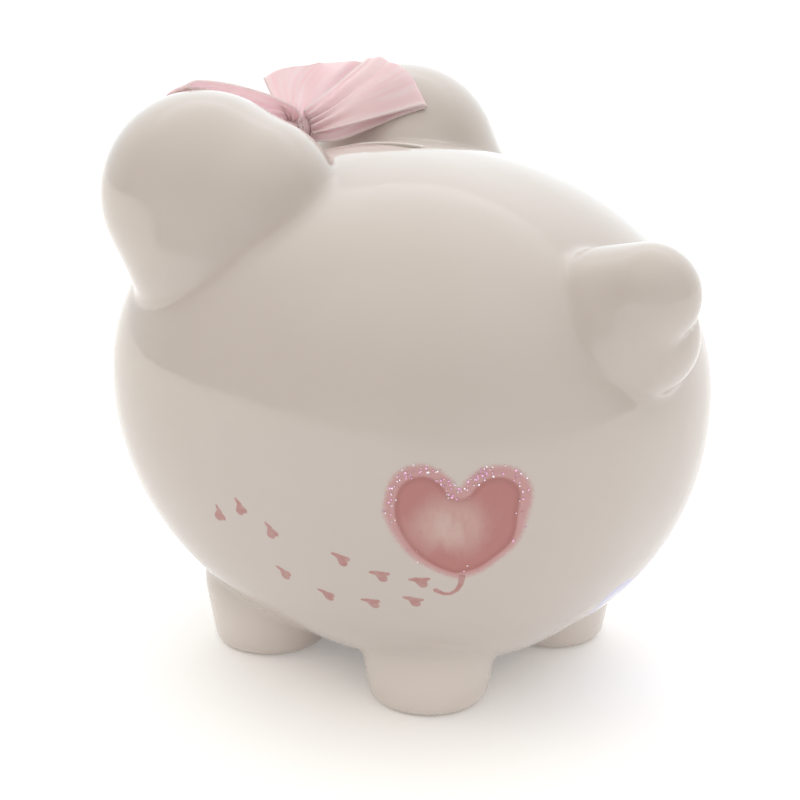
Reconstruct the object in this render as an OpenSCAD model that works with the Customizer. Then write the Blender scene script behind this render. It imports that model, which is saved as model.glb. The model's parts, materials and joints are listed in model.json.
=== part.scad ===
/* [Body] */
// Length of the round body from the face to the rump
body_l = 200; // [192:1:208]
// Width of the body at its middle
body_w = 186; // [178:1:194]
// Height of the body's widest level above the table
waist_z = 98; // [96:1:100]
// Rise from the widest level to the top of the back
crown_h = 79.5; // [77:0.5:82]
// Drop from the widest level to the belly, before the belly is flattened
belly_d = 97; // [95:0.5:98]
// Power of the outline seen from above: 2 is an ellipse, more is squarer
plan_power = 2.42; // [2.2:0.02:2.6]
// Power of the outline seen from the side
side_power = 2.06; // [2:0.02:2.2]
// Share by which the face end is wider than the middle
face_swell = 0.087; // [0:0.001:0.1]
// Share of half the length by which the rump sits lower than the middle
rump_drop = 0.041; // [0:0.001:0.05]
// Thickness of the fired clay wall
wall = 5; // [4.5:0.1:6]

/* [Coin slot] */
// Length of the slot along the back
slot_l = 42; // [38:1:46]
// Width of the slot
slot_w = 5; // [4.6:0.1:6]
// Middle of the slot ahead of the middle of the body
slot_ahead = 22; // [20:1:24]

/* [Stopper] */
// Height of the flat belly above the table
belly_z = 6; // [5.5:0.1:7]
// Diameter of the emptying hole
hole_d = 34; // [30:1:38]
// Gap between the stopper's plug and the hole, all round
plug_gap = 0.2; // [0.1:0.05:0.4]
// Diameter of the stopper's flange
flange_d = 44; // [42:1:46]
// Depth of the seat that the flange lies in
seat_d = 3; // [2.8:0.1:3.5]
// Height of the plug above the flange
plug_h = 10; // [8:0.5:12]

/* [Legs] */
// Radius of a foot
foot_r = 20.4; // [19:0.1:21]
// Radius of the rounded edge under a foot
foot_edge = 4.5; // [3:0.5:6]
// Distance of each leg from the centre line
leg_side = 35; // [33:1:37]
// Distance of the front legs ahead of the middle of the body
front_leg = 38.5; // [37:0.5:42]
// Distance of the rear legs behind the middle of the body
rear_leg = 34; // [31:0.5:37]
// Growth in radius from the foot to the body
leg_flare = 3; // [1.5:0.5:5]

/* [Ears] */
// Radius of the ear's round tip
ear_tip_r = 34; // [32:0.5:35]
// Radius of the left ear's root, which is the fatter one
ear_root_r = 30; // [28:0.5:31]
// Radius of the right ear's root
thin_root_r = 26; // [25:0.5:28]
// Radius of an ear's heel, low on the side of the head
ear_heel_r = 32.5; // [31:0.5:33]
// Depth of the dish in the front of the ear
dish_d = 12; // [10:0.5:13]

/* [Snout and tail] */
// Distance of the snout's flat front ahead of the middle of the body
snout_reach = 117; // [112:1:120]
// Width of the snout
snout_w = 56; // [50:1:60]
// Height of the snout over its width
snout_squash = 0.82; // [0.75:0.01:0.95]
// Radius of the tail's upper turn at its tip
tail_r = 16.6; // [15:0.1:17]

/* [Bow] */
// Thickness of the folded ribbon in a loop
loop_t = 5; // [4:0.5:6]
// Thickness of a loose ribbon end
end_t = 3; // [2.5:0.5:4]

/* [Hidden] */

clay = "#efe9e4";
ribbon = "#eeb3bd";

// The face points along -Y and the pig's left side along +X. Places are measured from the middle of the body.
seat_z = belly_z + seat_d;
floor_z = seat_z + wall;
hole_r = hole_d / 2;
seat_play = 1;

leg_flare_z = 22;
leg_top = 42;

ear_tip = [52.5, -50.5, 162.5];
ear_root = [48, -33, 160];
thin_root = [42, -42, 160];
ear_heel = [54.5, -41, 148];
ear_wall = 5;
dish_r = 40;
dish_aim = [0.08, -0.98, 0.15];

snout_z = 92;
snout_edge = 6;
snout_depth = 32;
nostril_r = 5;
nostril_apart = 11;

// The tail is one fat curl tucked under itself: two turns, each from a ball at its root to a ball at its tip
upper_root = [7, 81, 138];
upper_tip = [6, 95, 143];
upper_root_r = 18.5;
lower_root = [10, 82, 130];
lower_tip = [0, 88, 127.5];
lower_root_r = 19;
lower_tip_r = 20;
tail_reach = upper_tip.y + tail_r;

knot = [0, -56, 176];
knot_r = 7.5;
knot_gap = 0.1;

// Moves the body so that the middle of the whole length stands over the origin
body_y = (snout_reach - tail_reach) / 2;

function direction(lon, lat) = [cos(lat) * cos(lon), cos(lat) * sin(lon), sin(lat)];

// A point of the body's surface in the given direction, on a body smaller by inset
function skin(lon, lat, inset) =
    let (u = direction(lon, lat),
         plan = pow(pow(abs(u.x), plan_power) + pow(abs(u.y), plan_power), side_power / plan_power),
         q = u * pow(plan + pow(abs(u.z), side_power), -1 / side_power),
         reach_z = (q.z > 0 ? crown_h : belly_d) - inset)
    [(body_w / 2 - inset) * q.x * (1 - face_swell * q.y),
     (body_l / 2 - inset) * q.y,
     waist_z + reach_z * q.z - rump_drop * body_l / 2 * q.y];

// The closed body surface, with its points on rings from pole to pole
module egg(inset, around, rings) {
    step = 180 / (rings + 1);
    points = concat([skin(0, -90, inset)],
        [for (i = [1:rings], j = [0:around - 1]) skin(360 * j / around, -90 + i * step, inset)],
        [skin(0, 90, inset)]);
    top = len(points) - 1;
    function at(i, j) = 1 + i * around + j % around;
    sides = [for (i = [0:rings - 2], j = [0:around - 1])
        each [[at(i, j), at(i + 1, j), at(i + 1, j + 1)], [at(i, j), at(i + 1, j + 1), at(i, j + 1)]]];
    caps = [for (j = [0:around - 1])
        each [[0, at(0, j), at(0, j + 1)], [top, at(rings - 1, j + 1), at(rings - 1, j)]]];
    polyhedron(points, concat(sides, caps));
}

module above(z) {
    translate([-150, -150, z]) cube([300, 300, 300]);
}

module outer_body() {
    intersection() {
        egg(0, 44, 21);
        above(belly_z);
    }
}

module inner_body() {
    intersection() {
        egg(wall, 32, 15);
        above(floor_z);
    }
}

module in_frame() {
    translate([0, body_y, 0]) children();
}

module mirrored(side) {
    mirror([side < 0 ? 1 : 0, 0, 0]) children();
}

module slot_cut() {
    translate([0, -slot_ahead, waist_z + crown_h / 2]) {
        translate([-slot_w / 2, -(slot_l - slot_w) / 2, 0]) cube([slot_w, slot_l - slot_w, crown_h]);
        for (end = [-1, 1])
            translate([0, end * (slot_l - slot_w) / 2, 0]) cylinder(d = slot_w, h = crown_h, $fn = 32);
    }
}

module body_shell() {
    color(clay) in_frame() difference() {
        outer_body();
        inner_body();
        slot_cut();
        translate([0, 0, belly_z - 1]) cylinder(r = hole_r, h = floor_z - belly_z + 2, $fn = 96);
        translate([0, 0, belly_z - 1]) cylinder(d = flange_d + 2 * seat_play, h = seat_d + 1, $fn = 96);
    }
}

// A thin oval slice of the snout, depth behind its front
module snout_slice(depth, r) {
    translate([0, depth - snout_reach, snout_z]) rotate([90, 0, 0]) linear_extrude(0.1, center = true)
        scale([1, snout_squash]) circle(r, $fn = 64);
}

module snout() {
    r = snout_w / 2;
    color(clay) in_frame() difference() {
        hull() {
            for (a = [0:22.5:90])
                snout_slice(0.05 + snout_edge * (1 - sin(a)), r - snout_edge * (1 - cos(a)));
            snout_slice(snout_depth, r + 1);
        }
        outer_body();
        for (side = [-1, 1])
            translate([side * nostril_apart, -snout_reach - 1.5, snout_z + 1]) sphere(nostril_r, $fn = 48);
    }
}

// The lobe of one ear, smaller by inset
module ear_lobe(side, inset) {
    root = side > 0 ? ear_root : thin_root;
    root_r = side > 0 ? ear_root_r : thin_root_r;
    hull() {
        translate(ear_tip) sphere(ear_tip_r - inset, $fn = 32);
        translate(root) sphere(root_r - inset, $fn = 32);
        translate(ear_heel) sphere(ear_heel_r - inset, $fn = 32);
    }
}

module dish(grow) {
    aim = dish_aim / norm(dish_aim);
    translate(ear_tip + aim * (ear_tip_r + dish_r - dish_d)) sphere(dish_r + grow, $fn = 96);
}

module ear(side) {
    color(clay) in_frame() mirrored(side) difference() {
        ear_lobe(side, 0);
        difference() {
            ear_lobe(side, ear_wall);
            dish(ear_wall);
        }
        dish(0);
        outer_body();
    }
}

module leg(side, ahead) {
    profile = concat([[0, 0]],
        [for (a = [-90:15:0]) [foot_r - foot_edge + foot_edge * cos(a), foot_edge + foot_edge * sin(a)]],
        [[foot_r + leg_flare, leg_flare_z], [foot_r + leg_flare, leg_top], [0, leg_top]]);
    color(clay) in_frame() difference() {
        translate([side * leg_side, -ahead, 0]) rotate_extrude($fn = 96) polygon(profile);
        outer_body();
    }
}

module turn(root, root_r, tip, tip_r) {
    hull() {
        translate(root) sphere(root_r, $fn = 40);
        translate(tip) sphere(tip_r, $fn = 40);
    }
}

module tail() {
    color(clay) in_frame() difference() {
        union() {
            turn(upper_root, upper_root_r, upper_tip, tail_r);
            turn(lower_root, lower_root_r, lower_tip, lower_tip_r);
        }
        outer_body();
    }
}

module stopper() {
    flange_t = seat_d - 0.6;
    flange_z = seat_z - 0.2 - flange_t;
    grip = [20, 5, 2.6];
    color("#e6e0d6") in_frame() {
        translate([0, 0, flange_z]) cylinder(d = flange_d, h = flange_t, $fn = 96);
        translate([0, 0, flange_z + flange_t / 2])
            cylinder(r = hole_r - plug_gap, h = plug_h + flange_t / 2, $fn = 96);
        translate([-grip.x / 2, -grip.y / 2, flange_z - grip.z]) cube([grip.x, grip.y, grip.z + 1]);
    }
}

module knot_ball(grow) {
    translate(knot) sphere(knot_r + grow, $fn = 48);
}

module glue_pad() {
    color("#f4efe0") in_frame() difference() {
        translate([knot.x, knot.y, knot.z - 14]) cylinder(r = 6.5, h = 10, $fn = 48);
        knot_ball(knot_gap);
        outer_body();
    }
}

module bow_knot() {
    color(ribbon) in_frame() knot_ball(0);
}

// A flat ribbon piece through rows of balls of one thickness, clear of the knot and of what it lies on
module ribbon_piece(rows, thick) {
    color(ribbon) in_frame() difference() {
        for (i = [0:len(rows) - 2])
            hull() for (p = concat(rows[i], rows[i + 1])) translate(p) sphere(d = thick, $fn = 16);
        knot_ball(knot_gap);
        for (side = [-1, 1]) mirrored(side) ear_lobe(side, -0.1);
        outer_body();
    }
}

module bow_loop_left() {
    ribbon_piece([[[9, -58, 181]], [[27, -59, 191], [27, -76, 184]], [[48, -61, 196], [45, -82, 184]]], loop_t);
}

module bow_loop_right() {
    ribbon_piece([[[-9, -53, 179]], [[-20, -38, 182], [-22, -53, 190]],
        [[-34, -30, 185], [-38, -43, 195], [-34, -53, 196]]], loop_t);
}

module bow_end_upright() {
    ribbon_piece([[[-2, -62, 185]], [[11, -62, 195], [-10, -63, 198], [-35, -60, 197.5]]], end_t);
}

module bow_end_brow() {
    ribbon_piece([[[1, -65, 172]], [[-15, -76, 160], [16, -76, 160]], [[-16, -86, 146], [17, -86, 146]]], end_t);
}

body_shell();
snout();
ear(1);  // ear_left
ear(-1);  // ear_right
leg(1, front_leg);  // leg_front_left
leg(-1, front_leg);  // leg_front_right
leg(1, -rear_leg);  // leg_rear_left
leg(-1, -rear_leg);  // leg_rear_right
tail();
stopper();
glue_pad();
bow_knot();
bow_loop_left();
bow_loop_right();
bow_end_upright();
bow_end_brow();
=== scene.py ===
"""The looks of a round ceramic pig bank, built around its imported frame.

The clay is worked out in millimetres in the pig's own frame, as distances to its surface: the face points
along -Y and the pig's left side along +X. Only at the end is it turned into metres and moved to its place in
the row frame.
"""
import json
import math

import bmesh
import bpy
import numpy as np
import openvdb
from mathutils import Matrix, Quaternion, Vector

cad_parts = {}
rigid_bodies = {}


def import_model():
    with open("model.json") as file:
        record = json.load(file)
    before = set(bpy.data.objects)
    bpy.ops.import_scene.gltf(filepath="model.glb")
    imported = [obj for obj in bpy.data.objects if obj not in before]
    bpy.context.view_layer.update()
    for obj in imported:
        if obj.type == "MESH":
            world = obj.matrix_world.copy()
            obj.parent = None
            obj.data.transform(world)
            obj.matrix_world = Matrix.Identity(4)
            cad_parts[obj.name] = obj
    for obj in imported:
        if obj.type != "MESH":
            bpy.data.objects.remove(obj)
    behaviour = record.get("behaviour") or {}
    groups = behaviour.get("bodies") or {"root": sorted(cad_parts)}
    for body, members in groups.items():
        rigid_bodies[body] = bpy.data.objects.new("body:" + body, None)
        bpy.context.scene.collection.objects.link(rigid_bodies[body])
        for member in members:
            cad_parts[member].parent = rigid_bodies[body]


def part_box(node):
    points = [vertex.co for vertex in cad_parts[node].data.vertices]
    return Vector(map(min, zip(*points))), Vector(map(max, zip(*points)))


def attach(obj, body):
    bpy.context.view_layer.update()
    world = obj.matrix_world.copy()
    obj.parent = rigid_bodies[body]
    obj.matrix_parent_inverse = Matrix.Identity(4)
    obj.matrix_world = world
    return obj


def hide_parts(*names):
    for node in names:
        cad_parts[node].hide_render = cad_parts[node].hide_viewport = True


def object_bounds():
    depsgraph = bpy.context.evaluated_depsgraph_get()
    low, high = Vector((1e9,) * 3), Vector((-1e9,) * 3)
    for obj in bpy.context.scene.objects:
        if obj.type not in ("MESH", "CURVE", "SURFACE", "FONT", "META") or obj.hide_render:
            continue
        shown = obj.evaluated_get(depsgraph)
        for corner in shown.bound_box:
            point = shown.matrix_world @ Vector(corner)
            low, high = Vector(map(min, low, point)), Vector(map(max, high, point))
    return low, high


for leftover in list(bpy.data.objects):
    bpy.data.objects.remove(leftover)
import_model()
cad_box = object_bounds()

MM = 0.001
shell_low, shell_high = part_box("body_shell")
BODY_Y = (shell_low.y + shell_high.y) / 2 / MM
TO_ROW = np.array([0.0, BODY_Y, 0.0])

# The round body
HALF_L = (shell_high.y - shell_low.y) / 2 / MM
HALF_W = 93.0
WAIST_Z = 98.0
CROWN_H = shell_high.z / MM - WAIST_Z
BELLY_D = 97.0
PLAN_POWER = 2.42
SIDE_POWER = 2.06
FACE_SWELL = 0.087
RUMP_DROP = 0.041
WALL = 5.0
BELLY_Z = 6.0

# Openings
SLOT_W = 5.0
SLOT_HALF_L = 18.5
SLOT_Y = -22.0
HOLE_R = 17.0
SEAT_R = 23.0
SEAT_D = 3.0

# Legs
FOOT_R = 20.4
FOOT_EDGE = 4.5
LEG_SIDE = 35.0
LEG_AHEAD = {"front": 38.5, "rear": -34.0}
LEG_FLARE = 3.0
LEG_FLARE_Z = 22.0
LEG_TOP = 50.0

# Ears
EAR_TIP, EAR_TIP_R = (52.5, -50.5, 162.5), 34.0
EAR_ROOT = {1: ((48, -33, 160), 30), -1: ((42, -42, 160), 26)}
EAR_HEEL, EAR_HEEL_R = (54.5, -41.0, 148.0), 32.5
DISH_D, DISH_R = 12.0, 40.0
DISH_AIM = (0.08, -0.98, 0.15)

# Snout
SNOUT_FRONT = -117.0
SNOUT_BACK = -75.0
SNOUT_R = 28.0
SNOUT_SQUASH = 0.82
SNOUT_Z = 92.0
SNOUT_EDGE = 6.0
NOSTRIL_R = 5.0
NOSTRIL_APART = 11.0

# Tail: the middles of the balls that it passes through, and their radii
TAIL_TURNS = [((7, 81, 138), (6, 95, 143), 18.5, 16.6), ((10, 82, 130), (0, 88, 127.5), 19, 20)]

# The clay's mesh: the size of its quads, and how far from the round body its pieces are cut apart
VOXEL = 1.4
SEAM = 2.5

# Ribbon bow: each strip's rows run outward from the knot, and a row is one selvage, the middle and the other
# selvage
RIBBON_W = 32.0
RIBBON_T, SELVAGE_T, SELVAGE = 0.35, 0.75, 0.03
RIBBON_CLEAR = 0.6
ROW_STEPS, ACROSS = 8, 65
GATHER, GATHERS = 1.9, 4  # height and number of the pleats at the knot
LOOP_LEFT = [
    ((1, -53.5, 180.5), (1, -57.5, 182.5), (1, -60, 179)),
    ((3, -53, 184.8), (4, -59.5, 185.5), (5, -64, 181)),
    ((9, -54, 188.3), (9.5, -62, 187.2), (10, -70, 182)),
    ((19, -55.5, 192.5), (19, -66.5, 190), (19, -77, 184)),
    ((34, -57, 196.8), (33, -70.5, 192.5), (32, -83, 185)),
    ((47, -58, 198.9), (45, -72.5, 193.5), (43, -86, 184)),
    ((51.5, -58.3, 197.8), (50, -73, 191.5), (47.5, -86, 182)),
    ((48, -58, 195.4), (46, -72, 189.5), (44, -85, 180.5)),
    ((34, -57, 192.5), (33, -69, 188), (32, -81, 181)),
    ((19, -55.5, 186.5), (18.5, -66, 184), (18, -75, 179)),
    ((8, -54.5, 181), (8.5, -61, 180), (9, -68, 177)),
    ((1, -54, 177.5), (1, -57, 178), (1, -60, 176)),
]
LOOP_RIGHT = [
    ((-0.7, -50.5, 176.2), (-2, -53, 180), (-2, -56, 182.5)),
    ((-7.5, -45.5, 178.2), (-13, -49, 185.5), (-11, -56, 186.8)),
    ((-14.5, -40, 180.4), (-21.5, -46, 190.5), (-20, -55.5, 190.8)),
    ((-25, -34, 183), (-31, -43, 195), (-28, -54, 195.6)),
    ((-34.3, -28.3, 185.3), (-38.4, -43, 197.9), (-34, -53, 199)),
    ((-36.3, -27.5, 184.6), (-40.5, -43, 196.3), (-36, -54, 197.8)),
    ((-33, -29.5, 183.6), (-37, -44, 194.8), (-33, -54.5, 196)),
    ((-21, -39, 178), (-26, -46.5, 188), (-22, -55.5, 189)),
    ((-9.5, -46, 173.9), (-12, -51, 182.5), (-11, -56, 184)),
    ((-1, -51.5, 174.6), (-3, -54, 177.5), (-3, -56.5, 180)),
]
END_UPRIGHT = [
    ((1, -57.5, 179), (-1, -59, 181.5), (-4, -57.5, 180.5)),
    ((5, -59, 185.5), (-3, -62, 188), (-13, -58, 186.3)),
    ((9.5, -60, 190.5), (-6, -63.5, 194), (-24, -58, 191)),
    ((13.5, -60, 196.7), (-11, -63, 199.2), (-38, -58, 197.8)),
]
END_BROW = [
    ((-3, -59, 176), (0, -61, 178), (3, -59, 176)),
    ((-10, -67, 170), (1, -69, 170), (12, -67, 170)),
    ((-14.5, -76, 160.5), (1, -77, 159), (16.5, -76, 160.5)),
    ((-15, -86, 146), (1, -87, 146), (17, -86, 146)),
]
KNOT, KNOT_R, KNOT_W = (-1.0, -58.0, 177.5), 4.2, 8.0
GLUE, GLUE_SIZE = (0.0, -55.5, 170.5), (7.5, 6.5, 5.5)

# Stopper
FLANGE_R, FLANGE_LOW, FLANGE_TOP = 22.0, 6.4, 8.8
PLUG_R, PLUG_TOP, PLUG_WALL, RIB_APART = 16.8, 18.8, 3.0, 3.6
GRIP, GRIP_LOW, GRIP_EDGE = (20.0, 5.0), 3.8, 1.0


# ---------------- distances
def smooth_min(a, b, k):
    """The smaller of two distances, with a fillet about k wide where they meet."""
    h = np.maximum(k - np.abs(a - b), 0) / k
    return np.minimum(a, b) - h**3 * k / 6


def smooth_max(a, b, k):
    return -smooth_min(-a, -b, k)


def round_body(p):
    """Distance to the closed round body, before the belly is flattened."""
    y = p[:, 1] / HALF_L
    x = p[:, 0] / (HALF_W * (1 - FACE_SWELL * y))
    z = p[:, 2] - WAIST_Z + RUMP_DROP * p[:, 1]
    z = z / np.where(z > 0, CROWN_H, BELLY_D)
    plan = np.abs(x) ** PLAN_POWER + np.abs(y) ** PLAN_POWER
    share = (plan ** (SIDE_POWER / PLAN_POWER) + np.abs(z) ** SIDE_POWER) ** (1 / SIDE_POWER)
    share = np.maximum(share, 0.2)
    reach = np.linalg.norm(p - np.array([0, 0, WAIST_Z]), axis=1)
    return (1 - 1 / share) * reach


def round_cone(p, a, b, ra, rb):
    """Distance to the hull of two balls."""
    a, b = np.array(a, float), np.array(b, float)
    axis = b - a
    l2 = axis @ axis
    rr = ra - rb
    a2 = l2 - rr * rr
    pa = p - a
    y = pa @ axis
    z = y - l2
    side = pa * l2 - np.outer(y, axis)
    x2 = np.einsum("ij,ij->i", side, side)
    y2 = y * y * l2
    z2 = z * z * l2
    k = np.sign(rr) * rr * rr * x2
    middle = (np.sqrt(x2 * a2 / l2) + y * rr) / l2 - ra
    far = np.sqrt(x2 + z2) / l2 - rb
    near = np.sqrt(x2 + y2) / l2 - ra
    return np.where(np.sign(z) * a2 * z2 > k, far, np.where(np.sign(y) * a2 * y2 < k, near, middle))


def ball(p, middle, r):
    return np.linalg.norm(p - np.array(middle, float), axis=1) - r


def rounded_corner(a, b, r):
    """The space inside two walls, each given as a distance plus r, with an edge of radius r between them."""
    return np.hypot(np.maximum(a, 0), np.maximum(b, 0)) + np.minimum(np.maximum(a, b), 0) - r


def dish_field(p):
    """Distance to the ball that hollows the front of the left ear."""
    aim = np.array(DISH_AIM) / np.linalg.norm(DISH_AIM)
    return ball(p, np.array(EAR_TIP) + aim * (EAR_TIP_R + DISH_R - DISH_D), DISH_R)


def ear_field(p, side):
    """A hollowed round lobe with a heel below, on the pig's left (side 1) or right (side -1)."""
    q = p * np.array([side, 1, 1])
    lobe = round_cone(q, EAR_TIP, EAR_ROOT[side][0], EAR_TIP_R, EAR_ROOT[side][1])
    heel = round_cone(q, EAR_TIP, EAR_HEEL, EAR_TIP_R, EAR_HEEL_R)
    return smooth_max(smooth_min(lobe, heel, 3.0), -dish_field(q), 7.0)


def ear_fillet(p):
    """The ear runs softly into the flank and more sharply into the crown and the face."""
    return 3 + 5 * np.clip((p[:, 0] - 30) / 25, 0, 1) * np.clip((p[:, 1] + 65) / 25, 0, 1)


def leg_field(p, side, ahead):
    """An upright stub that widens a little from its rounded foot."""
    r = np.hypot(p[:, 0] - side * LEG_SIDE, p[:, 1] + ahead)
    s = np.clip((p[:, 2] - FOOT_EDGE) / (LEG_FLARE_Z - FOOT_EDGE), 0, 1)
    out = r - (FOOT_R + LEG_FLARE * s) + FOOT_EDGE
    return np.maximum(rounded_corner(out, FOOT_EDGE - p[:, 2], FOOT_EDGE), p[:, 2] - LEG_TOP)


def snout_field(p):
    """An oval disc with a rounded rim and two dimples."""
    oval = np.hypot(p[:, 0], (p[:, 2] - SNOUT_Z) / SNOUT_SQUASH) / SNOUT_R
    out = (oval - 1) * SNOUT_R * (1 + SNOUT_SQUASH) / 2 + SNOUT_EDGE
    ahead = SNOUT_FRONT - p[:, 1] + SNOUT_EDGE
    disc = np.maximum(rounded_corner(out, ahead, SNOUT_EDGE), p[:, 1] - SNOUT_BACK)
    for side in (-1, 1):
        middle = (side * NOSTRIL_APART, SNOUT_FRONT - 1.5, SNOUT_Z + 1)
        disc = smooth_max(disc, -ball(p, middle, NOSTRIL_R), 2.5)
    return disc


def tail_field(p):
    """Two turns of a fat curl that part from one root: a crease runs between them and dies out."""
    upper, lower = (round_cone(p, *turn) for turn in TAIL_TURNS)
    return smooth_min(upper, lower, 1.2 + 6 * np.clip((p[:, 0] - 3) / 8, 0, 1))


# Each part that stands out from the body: its distance, and the width of the fillet where it joins
OUTGROWTHS = {
    "ear_left": (lambda p: ear_field(p, 1), ear_fillet),
    "ear_right": (lambda p: ear_field(p, -1), lambda p: ear_fillet(p * (-1, 1, 1))),
    "leg_front_left": (lambda p: leg_field(p, 1, LEG_AHEAD["front"]), lambda p: 3.0),
    "leg_front_right": (lambda p: leg_field(p, -1, LEG_AHEAD["front"]), lambda p: 3.0),
    "leg_rear_left": (lambda p: leg_field(p, 1, LEG_AHEAD["rear"]), lambda p: 3.0),
    "leg_rear_right": (lambda p: leg_field(p, -1, LEG_AHEAD["rear"]), lambda p: 3.0),
    "snout": (snout_field, lambda p: 4.0),
    "tail": (tail_field, lambda p: 5.0),
}

# The space around each of them, and how far beyond it its fillet can reach
FILLET_REACH = 24.0
SPACES = {name: [np.array(corner) / MM - TO_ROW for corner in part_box(name)] for name in OUTGROWTHS}


def near_node(p, name):
    low, high = SPACES[name]
    return np.all((p > low - FILLET_REACH) & (p < high + FILLET_REACH), axis=1)


def slot_field(p):
    along = np.maximum(np.abs(p[:, 1] - SLOT_Y) - SLOT_HALF_L, 0)
    return np.maximum(np.hypot(p[:, 0], along) - SLOT_W / 2, WAIST_Z - p[:, 2])


def stopper_hole_field(p):
    r = np.hypot(p[:, 0], p[:, 1])
    hole = np.maximum(r - HOLE_R, p[:, 2] - WAIST_Z)
    seat = np.maximum(r - SEAT_R, p[:, 2] - BELLY_Z - SEAT_D)
    return np.minimum(hole, seat)


def clay_field(p):
    """Distance to the surface of all the clay, outside and inside."""
    body = round_body(p)
    f = smooth_max(body, BELLY_Z - p[:, 2], 4.0)
    for name, (field, fillet) in OUTGROWTHS.items():
        near = near_node(p, name)
        f[near] = smooth_min(f[near], field(p[near]), fillet(p[near]))
    hollow = np.maximum(body + WALL, BELLY_Z + SEAT_D + WALL - p[:, 2])
    f = smooth_max(f, -hollow, 2.0)
    f = smooth_max(f, -slot_field(p), 2.4)
    return smooth_max(f, -stopper_hole_field(p), 1.2)


def gradient(field, p, step=0.05):
    g = np.empty_like(p)
    for axis in range(3):
        d = np.zeros(3)
        d[axis] = step
        g[:, axis] = (field(p + d) - field(p - d)) / (2 * step)
    return g


def settle(field, p, rounds=3, reach=1.0):
    """Moves points onto the surface where the field is zero."""
    for _ in range(rounds):
        g = gradient(field, p)
        move = field(p)[:, None] * g / np.maximum(np.einsum("ij,ij->i", g, g), 0.05)[:, None]
        length = np.linalg.norm(move, axis=1, keepdims=True)
        p = p - move * np.minimum(1, reach / np.maximum(length, 1e-9))
    return p


# ---------------- the clay's mesh
def mesh_field(field, low, high, voxel):
    """A field's whole surface as quads on a grid, with every point moved onto the surface."""
    low = np.array(low) - 2 * voxel
    count = np.ceil((np.array(high) + 2 * voxel - low) / voxel).astype(int)
    lines = [low[i] + voxel * np.arange(count[i]) for i in range(3)]
    points = np.stack(np.meshgrid(*lines, indexing="ij"), axis=-1).reshape(-1, 3)
    grid = openvdb.FloatGrid(background=5.0)
    grid.copyFromArray(np.clip(field(points), -5, 5).reshape(count).astype(np.float32))
    points, quads = grid.convertToQuads(isovalue=0.0)
    return settle(field, low + voxel * points.astype(float)), quads.astype(int)


def settle_on_seam(p):
    """Moves points onto the line where the clay's surface is SEAM away from the round body."""
    dot = lambda a, b: np.einsum("ij,ij->i", a, b)
    for _ in range(4):
        a, b = gradient(clay_field, p), gradient(round_body, p)
        fa, fb = clay_field(p), round_body(p) - SEAM
        aa, ab, bb = dot(a, a), dot(a, b), dot(b, b)
        area = np.maximum(aa * bb - ab * ab, 0.02)
        p = p + a * ((fb * ab - fa * bb) / area)[:, None] + b * ((fa * ab - fb * aa) / area)[:, None]
    return p


def nearest_outgrowth(p):
    """The number of the nearest part in OUTGROWTHS."""
    names = list(OUTGROWTHS)
    far = np.full((len(names), len(p)), 1e3)
    for i, name in enumerate(names):
        near = near_node(p, name)
        far[i, near] = OUTGROWTHS[name][0](p[near])
    return far.argmin(axis=0)


def split_clay(points, quads):
    """Cuts the surface along its seams: all the points, those of the seams too, and each part's faces."""
    out = round_body(points) > SEAM
    owner = np.full(len(points), -1)
    owner[out] = nearest_outgrowth(points[out])
    share = out[quads].sum(axis=1)
    faces = {i: quads[(share == 4) & (owner[quads[:, 0]] == i)].tolist() for i in range(len(OUTGROWTHS))}
    faces[-1] = quads[share == 0].tolist()
    crossings = {}
    for a, b, c, d in quads[(share > 0) & (share < 4)].tolist():
        for triangle in ((a, b, c), (a, c, d)):
            sides = {False: [], True: []}
            for i, j in zip(triangle, triangle[1:] + triangle[:1]):
                sides[out[i]].append(i)
                if out[i] != out[j]:
                    new = crossings.setdefault((min(i, j), max(i, j)), len(points) + len(crossings))
                    sides[True].append(new)
                    sides[False].append(new)
            if sides[False]:
                faces[-1].append(sides[False])
            if sides[True]:
                faces[max(owner[i] for i in triangle)].append(sides[True])
    ends = np.array(list(crossings))
    height = round_body(points) - SEAM
    share = (height[ends[:, 0]] / (height[ends[:, 0]] - height[ends[:, 1]]))[:, None]
    seams = settle_on_seam(points[ends[:, 0]] * (1 - share) + points[ends[:, 1]] * share)
    return np.vstack([points, seams]), faces


def open_edges(faces):
    """The directed edges that no neighbouring face shares."""
    edges = {(a, b) for f in faces for a, b in zip(f, f[1:] + f[:1])}
    return [(a, b) for a, b in edges if (b, a) not in edges]


def close_seams(points, faces):
    """Closes each open seam with a fan whose middle lies on the body."""
    loops = {}
    edges = open_edges(faces)
    owner = nearest_outgrowth(points[[a for a, _ in edges]])
    for edge, i in zip(edges, owner):
        loops.setdefault(i, []).append(edge)
    for loop in loops.values():
        middle = points[[a for a, _ in loop]].mean(axis=0, keepdims=True)
        middle = settle(lambda p: round_body(p) - SEAM, middle, reach=10.0)
        points = np.vstack([points, middle])
        faces = faces + [[b, a, len(points) - 1] for a, b in loop]
    return points, faces


def make_mesh(name, points, faces):
    """A mesh of the faces, with only the points that they use, still in millimetres."""
    used = np.unique(np.concatenate([np.array(f) for f in faces]))
    place = np.full(len(points), -1)
    place[used] = np.arange(len(used))
    mesh = bpy.data.meshes.new(name)
    mesh.from_pydata(points[used], [], [place[f].tolist() for f in faces])
    return mesh


def coordinates(mesh):
    p = np.empty(len(mesh.vertices) * 3)
    mesh.vertices.foreach_get("co", p)
    return p.reshape(-1, 3)


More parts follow.
